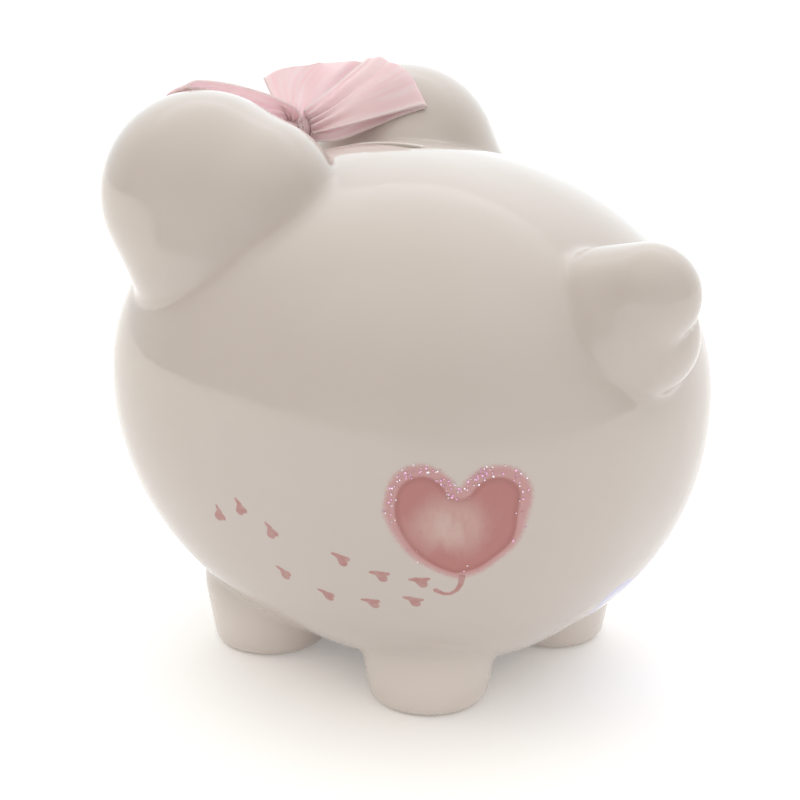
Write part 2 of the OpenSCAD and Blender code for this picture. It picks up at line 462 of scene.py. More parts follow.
def thin_inside(mesh):
    """Gives the hollow larger faces, since it only shows through the slot and the stopper's hole."""
    p = coordinates(mesh)
    hidden = (round_body(p) < -WALL + 0.5) & (np.abs(slot_field(p)) > 3) & (stopper_hole_field(p) > 3)
    piece = bpy.data.objects.new("thinning", mesh)
    bpy.context.collection.objects.link(piece)
    group = piece.vertex_groups.new(name="inside")
    group.add(np.flatnonzero(hidden).tolist(), 1.0, "REPLACE")
    thin = piece.modifiers.new("thin", "DECIMATE")
    thin.vertex_group = group.name
    thin.ratio = 1 - 0.85 * hidden.mean()
    thinned = bpy.data.meshes.new_from_object(piece.evaluated_get(bpy.context.evaluated_depsgraph_get()))
    bpy.data.objects.remove(piece)
    return thinned


def refine(mesh, near, cuts):
    """Divides the faces around the points where near(points) is true."""
    bm = bmesh.new()
    bm.from_mesh(mesh)
    chosen = near(coordinates(mesh))
    bm.verts.ensure_lookup_table()
    edges = {e for i in np.flatnonzero(chosen) for e in bm.verts[i].link_edges}
    bmesh.ops.subdivide_edges(bm, edges=list(edges), cuts=cuts, use_grid_fill=True)
    bm.to_mesh(mesh)
    bm.free()


def finish_clay(mesh):
    """Settles the surface, gives it the field's own normals, and puts it in its place in the row frame."""
    p = coordinates(mesh)
    skin = np.abs(clay_field(p)) < 0.5
    p[skin] = settle(clay_field, p[skin])
    normals = gradient(clay_field, p)
    normals /= np.maximum(np.linalg.norm(normals, axis=1, keepdims=True), 1e-9)
    mesh.vertices.foreach_set("co", ((p + TO_ROW) * MM).ravel())
    mesh.polygons.foreach_set("use_smooth", np.ones(len(mesh.polygons), bool))
    mesh.normals_split_custom_set_from_vertices(normals)
    for name, values in paint_depths(p).items():
        mesh.attributes.new(name, "FLOAT", "POINT").data.foreach_set("value", values)
    mesh.update()


# ---------------- painted decoration
# A heart, in millimetres from its middle: two round lobes, and two long arcs that meet in its tip
LOBE, LOBE_R = (10.8, 6.0), 12.3
FLANK, FLANK_R = (-4.9, 6.0), 28.0

# Each heart: its middle, its size beside the large one, and its lean
HEARTS = {
    "rose": ((68.0, 70.5, 80.5), 1.0, 0.02),
    "mauve": ((-67.0, 71.0, 97.0), 1.45, -0.08),
    "lavender": ((-16.0, 78.0, 32.0), 0.8, 0.3),
}

# The curled stroke that trails from the tip of the large heart
BRUSH_TAIL = [((1.4, -20.5), 1.2), ((1.0, -23.5), 0.95), ((-0.2, -26.0), 0.8), ((-2.2, -27.6), 0.7),
              ((-4.2, -27.6), 0.75), ((-6.6, -26.2), 0.95)]

# Small two-stroke marks on the left flank: place, turn in degrees, and length of the second stroke
MARKS = [((90, -9, 69), 62, 0.3), ((90, 1, 74), 45, 0.4), ((88, 12, 68), 40, 0.4), ((82, 12, 52), 25, 0.2),
         ((82, 36, 63), 10, 0.6), ((77, 26, 47), 12, 0.4), ((76, 47, 59), -6, 0.9), ((73, 41, 47), -8, 0.7),
         ((70, 58, 58), -12, 1.0), ((68, 54, 50), 0, 0.9)]


# Glitter: the least and greatest radius of a flake, and its thickness
FLAKE_R, FLAKE_T = (0.18, 0.40), 0.05

# The depth that stands for far outside a painted shape
OUTSIDE = -50.0


def on_body(place):
    """The nearest place on the round body, with its directions to the right, up and out."""
    at = settle(round_body, np.array([place], float), rounds=6, reach=20.0)
    n = gradient(round_body, at)[0]
    n /= np.linalg.norm(n)
    right = np.cross((0, 0, 1), n)
    right /= np.linalg.norm(right)
    return at[0], right, np.cross(n, right), n


def flattened(p, place, turn=0.0):
    """Points as seen straight on from outside a place on the body: right, up, and out."""
    at, right, up, n = on_body(place)
    d = p - at
    u, v = d @ right, d @ up
    c, s = math.cos(turn), math.sin(turn)
    return u * c + v * s, v * c - u * s, d @ n


def arc_distance(x, y, middle, r, first, last):
    """Distance to an arc between two angles."""
    x, y = x - middle[0], y - middle[1]
    angle = np.arctan2(y, x)
    ends = [np.hypot(x - r * math.cos(a), y - r * math.sin(a)) for a in (first, last)]
    beside = (angle > first) & (angle < last)
    return np.where(beside, np.abs(np.hypot(x, y) - r), np.minimum(*ends))


def heart_depth(u, v):
    """How far inside the heart's outline a point is, in millimetres; less than zero is outside."""
    x = np.abs(u)
    notch = math.pi - math.acos(LOBE[0] / LOBE_R)
    tip = -math.acos(-FLANK[0] / FLANK_R)
    edge = np.minimum(arc_distance(x, v, LOBE, LOBE_R, 0, notch), arc_distance(x, v, FLANK, FLANK_R, tip, 0))
    inside = np.hypot(x - LOBE[0], v - LOBE[1]) < LOBE_R
    inside |= (np.hypot(x - FLANK[0], v - FLANK[1]) < FLANK_R) & (v < FLANK[1])
    return np.where(inside, edge, -edge)


def stroke_depth(u, v, points):
    """How far inside a brush stroke a point is; the stroke's points each have a radius."""
    depth = np.full(len(u), -1e3)
    for ((ax, ay), ra), ((bx, by), rb) in zip(points, points[1:]):
        dx, dy = bx - ax, by - ay
        t = np.clip(((u - ax) * dx + (v - ay) * dy) / (dx * dx + dy * dy), 0, 1)
        depth = np.maximum(depth, ra + (rb - ra) * t - np.hypot(u - ax - t * dx, v - ay - t * dy))
    return depth


def brushed_heart(p, name):
    """Depth inside a hand-painted heart, and where the point is on it, both at the large heart's size."""
    place, size, lean = HEARTS[name]
    u, v, out = flattened(p, place, lean)
    u, v = u / size, v / size
    wander = 0.35 * np.sin(v / 2.9 + 1.0) + 0.25 * np.sin(u / 2.3 + v / 4.1)  # of the hand along the outline
    depth = heart_depth(u + wander, v + 0.4 * np.sin(u / 4.7 + 0.6))
    return np.where(out > -40, depth, OUTSIDE), u, v


def marks_depth(p):
    """Depth inside the small marks, each a rounded stroke with a second one that runs off to the side."""
    depth = np.full(len(p), OUTSIDE)
    for place, turn, second in MARKS:
        near = np.linalg.norm(p - on_body(place)[0], axis=1) < 8
        u, v, _ = flattened(p[near], place, -math.radians(turn))
        first = stroke_depth(u, v, [((-3.1, 1.2), 0.6), ((-1.0, 0.9), 1.1), ((0.5, -1.1), 1.7)])
        wing = stroke_depth(u, v, [((0.2, 0.3), 1.5), ((0.7 + 2.2 * second, 0.8), 1.5 - 0.9 * second)])
        depth[near] = np.maximum(depth[near], np.maximum(first, wing))
    return depth


# The face
EYE, EYE_SIZE = (25.0, -95.0, 117.0), (4.2, 5.6)
CHEEK = (47.0, -90.0, 92.0)
CHEEK_R = 15.0
SMILE = (0.0, -100.0, 60.0)


def face_depths(p):
    """Depths inside the dark brush work, the eyes' gleams, and the blush on the cheeks from 0 to 1."""
    ink, gleam, blush = np.full(len(p), OUTSIDE), np.full(len(p), OUTSIDE), np.zeros(len(p))
    front = p[:, 1] < -40
    q = p[front]
    for side in (-1, 1):
        u, v, _ = flattened(q, np.array(EYE) * (side, 1, 1))
        eye = (1 - np.hypot(u / EYE_SIZE[0], v / EYE_SIZE[1])) * min(EYE_SIZE)
        lash = stroke_depth(u, v, [((side * 3.2, 3.6), 0.6), ((side * 6.6, 6.2), 0.25)])
        ink[front] = np.maximum(ink[front], np.maximum(eye, lash))
        gleam[front] = np.maximum(gleam[front], 1.3 - np.hypot(u + 1.2, v - 2.2))
        u, v, _ = flattened(q, np.array(CHEEK) * (side, 1, 1))
        blush[front] = np.maximum(blush[front], np.clip(1 - np.hypot(u, v) / CHEEK_R, 0, 1))
    u, v, _ = flattened(q, SMILE)
    bow = [((-8.0, 2.2), 0.4), ((-4.0, 0.2), 0.7), ((0.0, -0.5), 0.8), ((4.0, 0.2), 0.7), ((8.0, 2.2), 0.4)]
    ink[front] = np.maximum(ink[front], stroke_depth(u, v, bow))
    return ink, gleam, blush


def soft_pink(p):
    """Where the front of the snout and the dishes of the ears are sprayed pink, from 0 to 1."""
    snout = np.clip((-108 - p[:, 1]) / 6, 0, 1) * (np.hypot(p[:, 0], p[:, 2] - SNOUT_Z) < SNOUT_R + 2)
    mirrored = p * np.where(p[:, :1] < 0, [[-1, 1, 1]], [[1, 1, 1]])
    dish = np.clip(1 - np.abs(dish_field(mirrored)) / 2.5, 0, 1) * (p[:, 2] > EAR_TIP[2] - EAR_TIP_R)
    return np.maximum(0.8 * snout, dish)


def crease_depth(p):
    """How deep a point lies in the creases, in millimetres: the glaze is darker there, partly from pooled
    glaze and partly as painted shade.
    """
    hard = round_body(p)
    for name, (field, _) in OUTGROWTHS.items():
        near = near_node(p, name)
        hard[near] = np.minimum(hard[near], field(p[near]))
    return np.maximum(hard, 0)


def paint_depths(p):
    """All the decoration at the given points, as the numbers that the glaze's material reads."""
    depth, u, v = brushed_heart(p, "rose")
    ink, gleam, blush = face_depths(p)
    return {
        "rose": depth, "rose_u": u, "rose_v": v,
        "brush": np.where(depth > OUTSIDE, stroke_depth(u, v, BRUSH_TAIL), OUTSIDE),
        "marks": marks_depth(p),
        "mauve": brushed_heart(p, "mauve")[0],
        "lavender": brushed_heart(p, "lavender")[0],
        "ink": ink, "gleam": gleam, "blush": np.maximum(blush, soft_pink(p)),
        "crease_pool_shade": crease_depth(p),
    }


def fine_places(p):
    """Where the body's mesh needs small faces: round fine brush work and the slot's lips."""
    paint = paint_depths(p)
    fine = [paint[name] > -1.5 for name in ("marks", "brush", "ink")]
    return np.any(fine, axis=0) | ((np.abs(slot_field(p)) < 2.5) & (round_body(p) > -WALL / 2))


def heart_border(p):
    depth = brushed_heart(p, "rose")[0]
    return (depth > -1.5) & (depth < 6)


def make_glitter():
    """Loose flakes of glitter in the border of the large heart, thickest on its lobes and in its notch."""
    rng = np.random.default_rng(7)
    at, right, up, _ = on_body(HEARTS["rose"][0])
    u, v = rng.uniform(-24, 24, 4000), rng.uniform(-22, 20, 4000)
    p = settle(round_body, at + np.outer(u, right) + np.outer(v, up), rounds=6, reach=5.0)
    depth, u, v = brushed_heart(p, "rose")
    lobes, notch, side = np.clip((v - 4) / 10, 0, 1), (np.abs(u) < 9) & (v > 4), (u < -14) & (v > -3)
    share = lobes + 0.9 * notch + 0.4 * side + 0.10
    border = (depth > 0.4) & (depth < 4.6 + 0.6 * (np.abs(u) < 5)) & (rng.random(len(u)) < 0.15 * share)
    p = p[border]
    normals = gradient(round_body, p) + rng.normal(0, 0.38, p.shape)
    normals /= np.linalg.norm(normals, axis=1, keepdims=True)
    points, faces, tints = [], [], []
    for middle, n in zip(p + 0.15 * gradient(round_body, p), normals):
        a = np.cross(n, rng.normal(0, 1, 3))
        a /= np.linalg.norm(a)
        b = np.cross(n, a)
        r = rng.uniform(*FLAKE_R)
        first = len(points)
        for height in (-FLAKE_T / 2, FLAKE_T / 2):
            corners = np.radians(range(0, 360, 60))
            points += [middle + n * height + r * (a * math.cos(t) + b * math.sin(t)) for t in corners]
        low, high = range(first, first + 6), range(first + 6, first + 12)
        faces += [list(low)[::-1], list(high)]
        faces += [[low[i - 1], low[i], high[i], high[i - 1]] for i in range(6)]
        tints += [rng.random()] * 12
    mesh = make_mesh("glitter", (np.array(points) + TO_ROW) * MM, faces)
    mesh.attributes.new("tint", "FLOAT", "POINT").data.foreach_set("value", tints)
    return add_piece("glitter_flakes", mesh, "bank", [])


def build_clay():
    """The clay parts, each in its own closed piece."""
    corners = [np.array(corner) / MM - TO_ROW for corner in cad_box]
    points, quads = mesh_field(clay_field, *corners, VOXEL)
    points, faces = split_clay(points, quads)
    names = list(OUTGROWTHS)
    pieces = []
    for i, part in faces.items():
        name = names[i] if i >= 0 else "body_shell"
        mesh = make_mesh(name, *close_seams(points, part))
        if i < 0:
            mesh = thin_inside(mesh)
            refine(mesh, heart_border, 1)
            refine(mesh, fine_places, 3)
        finish_clay(mesh)
        pieces.append(add_piece("glazed_" + name, mesh, "bank", [name]))
    return pieces


# ---------------- ribbon bow
def curves_through(rows):
    """Points along smooth curves through rows, whose first axis runs along the ribbon."""
    rows = np.concatenate([2 * rows[:1] - rows[1:2], rows, 2 * rows[-1:] - rows[-2:-1]])
    out = []
    for a, b, c, d in zip(rows, rows[1:], rows[2:], rows[3:]):
        for s in np.arange(ROW_STEPS) / ROW_STEPS:
            bend = (2 * a - 5 * b + 4 * c - d) * s * s + (3 * b - a - 3 * c + d) * s**3
            out.append(b + ((c - a) * s + bend) / 2)
    return np.array(out + [rows[-2]])


def grid_normals(grid):
    normals = np.cross(np.gradient(grid, axis=0), np.gradient(grid, axis=1))
    return normals / np.maximum(np.linalg.norm(normals, axis=2, keepdims=True), 1e-9)


def folded(grid, folds, away):
    """Gathers the ribbon into pleats at the knot, and raises folds that fan out from it. A fold has its place
    across the ribbon at the knot and far from it, its width, and its height at the knot and far from it."""
    t = np.linspace(0, 1, ACROSS)[None, :]
    away = away[:, None]
    lift = GATHER * (1 - away) ** 8 * np.cos(2 * math.pi * GATHERS * t)
    for (near, far), width, (near_height, far_height) in folds:
        height = near_height + (far_height - near_height) * away
        lift = lift + height * np.exp(-(((t - near - (far - near) * away) / width) ** 2))
    return grid + grid_normals(grid) * lift[:, :, None]


def clear_of_clay(p, gap):
    """Lifts points that come closer to the clay than the gap."""
    for _ in range(3):
        field = clay_field(p)
        low = field < gap
        p[low] += gradient(clay_field, p[low]) * (gap - field[low])[:, None]
    return p


def thickened(middle):
    """The points and faces of a strip of ribbon with its thickness, which is greater along the selvages."""
    n, m = middle.shape[:2]
    t = np.linspace(0, 1, m)
    rim = np.clip(1 - (np.minimum(t, 1 - t) / SELVAGE) ** 2, 0, 1)
    half = grid_normals(middle) * (RIBBON_T + (SELVAGE_T - RIBBON_T) * rim)[None, :, None] / 2
    points = np.concatenate([(middle + half).reshape(-1, 3), (middle - half).reshape(-1, 3)])
    place = np.arange(2 * n * m).reshape(2, n, m)
    faces = []
    for side, order in ((0, 1), (1, -1)):
        g = place[side]
        quads = np.stack([g[:-1, :-1], g[:-1, 1:], g[1:, 1:], g[1:, :-1]], axis=-1).reshape(-1, 4)
        faces += quads[:, ::order].tolist()
    edges = [place[:, 0, :], place[:, 1:, -1], place[:, -1, -2::-1], place[:, -2:0:-1, 0]]
    around = np.concatenate(edges, axis=1)
    for (a, b), (c, d) in zip(around.T, np.roll(around, -1, axis=1).T):
        faces.append([c, a, b, d])
    return points, faces


def add_piece(name, mesh, body, nodes):
    piece = bpy.data.objects.new(name, mesh)
    bpy.context.collection.objects.link(piece)
    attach(piece, body)
    if nodes:
        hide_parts(*nodes)
    return piece


def make_ribbon(name, node, rows, folds, turns_back=False, width=RIBBON_W):
    """One strip of ribbon, from the knot outward, and back to the knot where it's a loop."""
    spine = curves_through(np.array(rows, float))[:, None]
    t = np.linspace(0, 1, ACROSS)[None, :, None]
    shares = (1 - t) * (1 - 2 * t), 4 * t * (1 - t), -t * (1 - 2 * t)
    grid = sum(spine[:, :, i] * share for i, share in enumerate(shares))
    s = np.linspace(0, 1, len(grid))
    grid = folded(grid, folds, 1 - np.abs(2 * s - 1) if turns_back else s)
    grid = clear_of_clay(grid.reshape(-1, 3), RIBBON_CLEAR).reshape(grid.shape)
    steps = np.linalg.norm(np.diff(grid[:, ACROSS // 2], axis=0), axis=1)
    along = np.concatenate([[0], np.cumsum(steps)])
    points, faces = thickened(grid)
    mesh = make_mesh(name, (points + TO_ROW) * MM, faces)
    mesh.shade_smooth()
    across = np.tile(t.ravel() * width, 2 * len(grid))
    for key, values in (("across", across), ("along", np.tile(np.repeat(along, ACROSS), 2))):
        mesh.attributes.new(key, "FLOAT", "POINT").data.foreach_set("value", values)
    piece = add_piece(name, mesh, "bank", [node])
    return piece


def make_knot():
    """The band of folded ribbon wrapped round the middle of the bow, with its end tucked under itself."""
    rows = []
    for turn in np.radians(np.arange(-110, 291, 40)):
        out = np.array([0, np.cos(turn), np.sin(turn)]) * KNOT_R * (1 if turn < 4 else 0.9)
        side = np.array([KNOT_W / 2, 0, 0])
        rows.append([KNOT + out * 0.8 - side, KNOT + out * 1.1, KNOT + out * 0.8 + side])
    pleats = [((t, t), 0.05, (0.8, 0.8)) for t in (0.2, 0.4, 0.62, 0.82)]
    return make_ribbon("ribbon_knot", "bow_knot", rows, pleats,
                       width=RIBBON_W / 2)


def make_bow():
    """The two loops, the two ends, and the band round them."""
    left = make_ribbon("ribbon_loop_left", "bow_loop_left", LOOP_LEFT, [
        ((0.25, 0.2), 0.10, (0.9, 0.2)), ((0.55, 0.5), 0.09, (1.2, 0.5)), ((0.8, 0.85), 0.08, (1.0, 0.4)),
    ], turns_back=True)
    right = make_ribbon("ribbon_loop_right", "bow_loop_right", LOOP_RIGHT, [
        ((0.3, 0.35), 0.14, (0.5, 0.5)), ((0.62, 0.66), 0.08, (-0.9, -0.6)),
        ((0.8, 0.84), 0.08, (0.9, 0.9)), ((0.98, 0.98), 0.05, (0.6, 1.0)),
    ], turns_back=True)
    upright = make_ribbon("ribbon_end_upright", "bow_end_upright", END_UPRIGHT, [
        ((0.5, 0.52), 0.10, (1.0, -1.8)), ((0.72, 0.72), 0.08, (-1.5, 3.2)),
        ((0.9, 0.9), 0.07, (0.8, -1.6)), ((0.2, 0.2), 0.12, (0.5, 0.8)),
    ])
    brow = make_ribbon("ribbon_end_brow", "bow_end_brow", END_BROW, [
        ((0.3, 0.25), 0.09, (1.2, 0.4)), ((0.55, 0.5), 0.08, (1.0, 0.5)), ((0.78, 0.8), 0.07, (1.1, 0.3)),
    ])
    return [left, right, upright, brow, make_knot()]


# ---------------- glue and stopper
def glue_field(p):
    """A dab that spread on the head before it set, with a slightly lumpy skin."""
    q = (p - GLUE) / GLUE_SIZE
    lumps = 0.25 * np.sin(1.3 * p[:, 0] + 0.7) * np.sin(1.1 * p[:, 1]) + 0.2 * np.sin(0.9 * p[:, 2] + 2)
    dab = (np.linalg.norm(q, axis=1) - 1) * min(GLUE_SIZE) + lumps
    return smooth_max(dab, -0.3 - clay_field(p), 0.6)


def disc(p, radius, low, high, edge):
    """Distance to an upright round disc with rounded edges."""
    out = np.hypot(p[:, 0], p[:, 1]) - radius + edge
    up = np.abs(p[:, 2] - (low + high) / 2) - (high - low) / 2 + edge
    return rounded_corner(out, up, edge)


def stopper_field(p):
    """A soft plug with two sealing ribs, hollow from inside the bank, on a flange with a grip bar."""
    flange = disc(p, FLANGE_R, FLANGE_LOW, FLANGE_TOP, 0.9)
    lead = 0.9 * np.clip((p[:, 2] - PLUG_TOP + 3) / 3, 0, 1)
    ribs = 0.5 * np.cos((p[:, 2] - FLANGE_TOP - 2) * 2 * math.pi / RIB_APART) - 0.5
    plug = disc(p, PLUG_R, FLANGE_TOP - 1.5, PLUG_TOP, 0.8) + lead
    plug -= np.where(p[:, 2] < PLUG_TOP - 2, 0.7 * ribs, 0.7)
    hollow = disc(p, PLUG_R - PLUG_WALL, FLANGE_TOP + 1, PLUG_TOP + 6, 1.5)
    grip_top = FLANGE_LOW + 1
    q = np.abs(p - np.array([0, 0, (GRIP_LOW + grip_top) / 2]))
    half = np.array([GRIP[0] / 2, GRIP[1] / 2, (grip_top - GRIP_LOW) / 2]) - GRIP_EDGE
    grip = np.linalg.norm(np.maximum(q - half, 0), axis=1) + np.minimum((q - half).max(axis=1), 0) - GRIP_EDGE
    return smooth_min(smooth_max(smooth_min(flange, plug, 1.0), -hollow, 1.0), grip, 1.6)


def make_moulded(name, field, low, high, voxel, body, node):
    points, quads = mesh_field(field, low, high, voxel)
    mesh = make_mesh(name, (points + TO_ROW) * MM, quads.tolist())
    mesh.shade_smooth()
    return add_piece(name, mesh, body, [node])


# ---------------- materials
def add(tree, kind, *inputs, **settings):
    """Adds a shader node. Each input is a socket to link, a value, or None to leave it as it is."""
    node = tree.nodes.new("ShaderNode" + kind)
    for key, value in settings.items():
        setattr(node, key, value)
    for socket, value in zip(node.inputs, inputs):
        if isinstance(value, bpy.types.NodeSocket):
            tree.links.new(value, socket)
        elif value is not None:
            socket.default_value = value
    return node


def sums(tree, operation, *inputs):
    return add(tree, "Math", *inputs, operation=operation).outputs[0]


def step(tree, value, low, high, first=0.0, last=1.0):
    """A smooth change from first to last as the value goes from low to high."""
    return add(tree, "MapRange", value, low, high, first, last, interpolation_type="SMOOTHSTEP").outputs[0]


def blend_colours(tree, factor, a, b, way="MIX"):
    node = tree.nodes.new("ShaderNodeMix")
    node.data_type = "RGBA"
    node.blend_type = way
    for socket, value in zip((node.inputs[0], node.inputs[6], node.inputs[7]), (factor, a, b)):
        if isinstance(value, bpy.types.NodeSocket):
            tree.links.new(value, socket)
        else:
            socket.default_value = (*value, 1) if isinstance(value, tuple) else value
    return node.outputs[2]


def noise(tree, place, scale, detail=2.0, roughness=0.5):
    return add(tree, "TexNoise", place, None, scale, detail, roughness).outputs[0]


def attribute(tree, name):
    return add(tree, "Attribute", attribute_name=name).outputs["Fac"]


def new_material(name):
    """A material with nodes: the material, its node tree and its shader."""
    material = bpy.data.materials.new(name)
    material.use_nodes = True
    tree = material.node_tree
    return material, tree, tree.nodes["Principled BSDF"]


# Colours
WHITE_GLAZE = (0.53, 0.475, 0.442)
MOTTLED_GLAZE = (0.545, 0.49, 0.46)
POOLED_GLAZE_AND_CREASE_SHADE = (0.485, 0.42, 0.38)
FLOOR_LIGHT_PAINTED_GLAZE = (0.71, 0.645, 0.605)
BARE_CLAY = (0.70, 0.62, 0.52)
ROSE_DARK = (0.41, 0.165, 0.155)
ROSE_PALE = (0.53, 0.37, 0.34)
MARK_PINK = (0.41, 0.20, 0.19)
GLITTER_BASE = (0.50, 0.275, 0.275)
FLAKE_PALE = (0.85, 0.79, 0.87)
FLAKE_PINK = (0.85, 0.48, 0.78)
MAUVE = (0.50, 0.30, 0.36)
MAUVE_PALE = (0.70, 0.56, 0.60)
LAVENDER = (0.48, 0.46, 0.70)
LAVENDER_PALE = (0.68, 0.68, 0.84)
INK = (0.035, 0.026, 0.024)
GLEAM = (0.85, 0.85, 0.85)
BLUSH = (0.80, 0.47, 0.46)
SATIN = (0.98, 0.82, 0.85)
SATIN_PALE = (0.99, 0.90, 0.915)
SATIN_RIM = (0.99, 0.93, 0.935)
SATIN_GLOW = 0.5
RUBBER = (0.80, 0.79, 0.75)
RUBBER_DUSTY = (0.70, 0.68, 0.63)
GLUE_CLEAR = (0.86, 0.84, 0.78)
GLUE_MILKY = (0.93, 0.92, 0.88)


def painted_heart(tree, colour, place, depth, band, core, tints):
    """A soft band, then brushed filling with a darker line round it. core says how pale the filling is."""
    dark, pale, rim = tints
    filling = blend_colours(tree, core, dark, pale)
    line = step(tree, sums(tree, "SUBTRACT", depth, band), 0.2, 2.4, 0.22, 0.0)
    filling = blend_colours(tree, line, filling, dark, "MULTIPLY")
    fringe = sums(tree, "MULTIPLY_ADD", noise(tree, place, 900, 2, 0.7), 1.6, depth)
    colour = blend_colours(tree, step(tree, fringe, 0.4, 2.8), colour, rim)
    return blend_colours(tree, step(tree, sums(tree, "SUBTRACT", depth, band), -0.6, 0.6), colour, filling)


def glaze_material():
    """White gloss glaze, darker in the creases with pooled glaze and painted shade, lighter near the floor as
    painted light, painted over, and wiped off under the feet.
    """
    material, tree, shader = new_material("white_glaze")
    place = add(tree, "TexCoord").outputs["Object"]
    mottle = noise(tree, place, 26, 3)
    colour = blend_colours(tree, step(tree, mottle, 0.3, 0.7, 0, 0.6), WHITE_GLAZE, MOTTLED_GLAZE)
    height = add(tree, "SeparateXYZ", place).outputs["Z"]
    # Painted light: the glaze is lighter near the floor, low on the legs and under the belly, standing in for
    # light thrown up from the pale floor.
    colour = blend_colours(tree, step(tree, height, 0.008, 0.034, 1.0, 0.0), colour, FLOOR_LIGHT_PAINTED_GLAZE)
    # Painted shade: the glaze darkens in the creases, partly glaze pooled there and partly standing in for
    # the shade that falls in them.
    colour = blend_colours(tree, step(tree, attribute(tree, "crease_pool_shade"), 0.1, 1.6, 0, 0.55), colour, POOLED_GLAZE_AND_CREASE_SHADE)
    blush = attribute(tree, "blush")
    speckle = step(tree, noise(tree, place, 300), 0.2, 0.8, 0.85, 1)
    spray = sums(tree, "MULTIPLY", step(tree, blush, 0.0, 1.0, 0, 0.7), speckle)
    colour = blend_colours(tree, spray, colour, BLUSH)

    rose, across, rise = (attribute(tree, name) for name in ("rose", "rose_u", "rose_v"))
    band = step(tree, rise, -12.0, 10.0, 2.6, 4.4)
    strokes = add(tree, "VectorMath", place, (1.0, 1.0, 0.5), operation="MULTIPLY").outputs[0]
    smear = sums(tree, "SUBTRACT", noise(tree, strokes, 110, 4, 0.6), 0.5)
    aside = sums(tree, "POWER", sums(tree, "MULTIPLY_ADD", across, 0.072, 0.16), 2.0)
    above = sums(tree, "POWER", sums(tree, "MULTIPLY_ADD", rise, 0.09, 0.18), 2.0)
    away = sums(tree, "MULTIPLY_ADD", smear, 1.3, sums(tree, "SQRT", sums(tree, "ADD", aside, above)))
    streaks = step(tree, smear, -0.12, 0.1, 0.55, 1.0)
    pale = sums(tree, "MULTIPLY", step(tree, away, 0.2, 1.3, 1.0, 0.0), streaks)
    colour = painted_heart(tree, colour, place, rose, band, pale, (ROSE_DARK, ROSE_PALE, GLITTER_BASE))
    for name, line, core in (("mauve", MAUVE, MAUVE_PALE), ("lavender", LAVENDER, LAVENDER_PALE)):
        depth = attribute(tree, name)
        pale = step(tree, sums(tree, "MULTIPLY_ADD", smear, 12.0, depth), 4.0, 12.0)
        colour = painted_heart(tree, colour, place, depth, 2.0, pale, (line, core, line))
    thin = step(tree, noise(tree, place, 420, 3), 0.3, 0.75, 1.0, 0.72)
    for name in ("marks", "brush"):
        mark = sums(tree, "MULTIPLY", step(tree, attribute(tree, name), -0.15, 0.35), thin)
        colour = blend_colours(tree, mark, colour, MARK_PINK)
    colour = blend_colours(tree, step(tree, attribute(tree, "ink"), -0.1, 0.2), colour, INK)
    colour = blend_colours(tree, step(tree, attribute(tree, "gleam"), -0.1, 0.2), colour, GLEAM)

    wiped = sums(tree, "MULTIPLY_ADD", noise(tree, place, 200), 0.0008, height)
    bare = step(tree, wiped, 0.0007, 0.0011, 1, 0)
    colour = blend_colours(tree, bare, colour, BARE_CLAY)
    tree.links.new(colour, shader.inputs["Base Color"])

    within_band = step(tree, sums(tree, "SUBTRACT", rose, band), -0.6, 0.2, 1, 0)
    glitter = sums(tree, "MULTIPLY", step(tree, rose, 0.3, 1.2), within_band)
    rough = sums(tree, "MULTIPLY_ADD", glitter, 0.25, step(tree, mottle, 0.3, 0.7, 0.05, 0.09))
    rough = sums(tree, "MAXIMUM", rough, sums(tree, "MULTIPLY", bare, 0.7))
    tree.links.new(rough, shader.inputs["Roughness"])
    grain = sums(tree, "MULTIPLY", noise(tree, place, 2500, 3, 0.7), sums(tree, "MAXIMUM", glitter, bare))
    relief = sums(tree, "MULTIPLY_ADD", grain, 0.25, noise(tree, place, 90, 2, 0.4))
    bump = add(tree, "Bump", 0.35, 0.0003, None, relief)
    tree.links.new(bump.outputs["Normal"], shader.inputs["Normal"])
    shader.inputs["IOR"].default_value = 1.5
    return material


def glitter_material():
    """Metallised film, some of it pink and some nearly white."""
    material, tree, shader = new_material("glitter")
    tint = attribute(tree, "tint")
    colour = blend_colours(tree, step(tree, tint, 0.35, 0.65), FLAKE_PALE, FLAKE_PINK)
    tree.links.new(colour, shader.inputs["Base Color"])
    tree.links.new(step(tree, tint, 0.0, 1.0, 0.12, 0.3), shader.inputs["Roughness"])
    shader.inputs["Metallic"].default_value = 0.8
    return material


def ribbon_material():
    """Pink satin, thin enough to glow where light is behind it, with its threads and a paler selvage."""
    material, tree, shader = new_material("pink_satin")
    across, along = attribute(tree, "across"), attribute(tree, "along")
    crosswise, lengthwise = sums(tree, "MULTIPLY", across, 3.2), sums(tree, "MULTIPLY", along, 0.35)
    threads = add(tree, "CombineXYZ", crosswise, lengthwise).outputs[0]
    weave = noise(tree, threads, 1.0, 3, 0.6)
    slub = noise(tree, threads, 0.12, 2, 0.5)
    colour = blend_colours(tree, step(tree, slub, 0.35, 0.7), SATIN, SATIN_PALE)
    to_edge = sums(tree, "MINIMUM", across, sums(tree, "SUBTRACT", RIBBON_W, across))
    rim = step(tree, to_edge, 0.5, 1.5, 0.75, 0.0)
    colour = blend_colours(tree, rim, colour, SATIN_RIM)
    tree.links.new(colour, shader.inputs["Base Color"])
    tree.links.new(step(tree, weave, 0.3, 0.7, 0.30, 0.42), shader.inputs["Roughness"])
    shader.inputs["Anisotropic"].default_value = 0.5
    shader.inputs["Sheen Weight"].default_value = 0.35
    shader.inputs["Sheen Roughness"].default_value = 0.4
    bump = add(tree, "Bump", 0.25, 0.00008, None, weave)
    tree.links.new(bump.outputs[0], shader.inputs["Normal"])
    glow = add(tree, "BsdfTranslucent", colour)
    tree.links.new(bump.outputs[0], glow.inputs["Normal"])
    mixed = add(tree, "MixShader", SATIN_GLOW, shader.outputs[0], glow.outputs[0])
    tree.links.new(mixed.outputs[0], tree.nodes["Material Output"].inputs["Surface"])
    return material


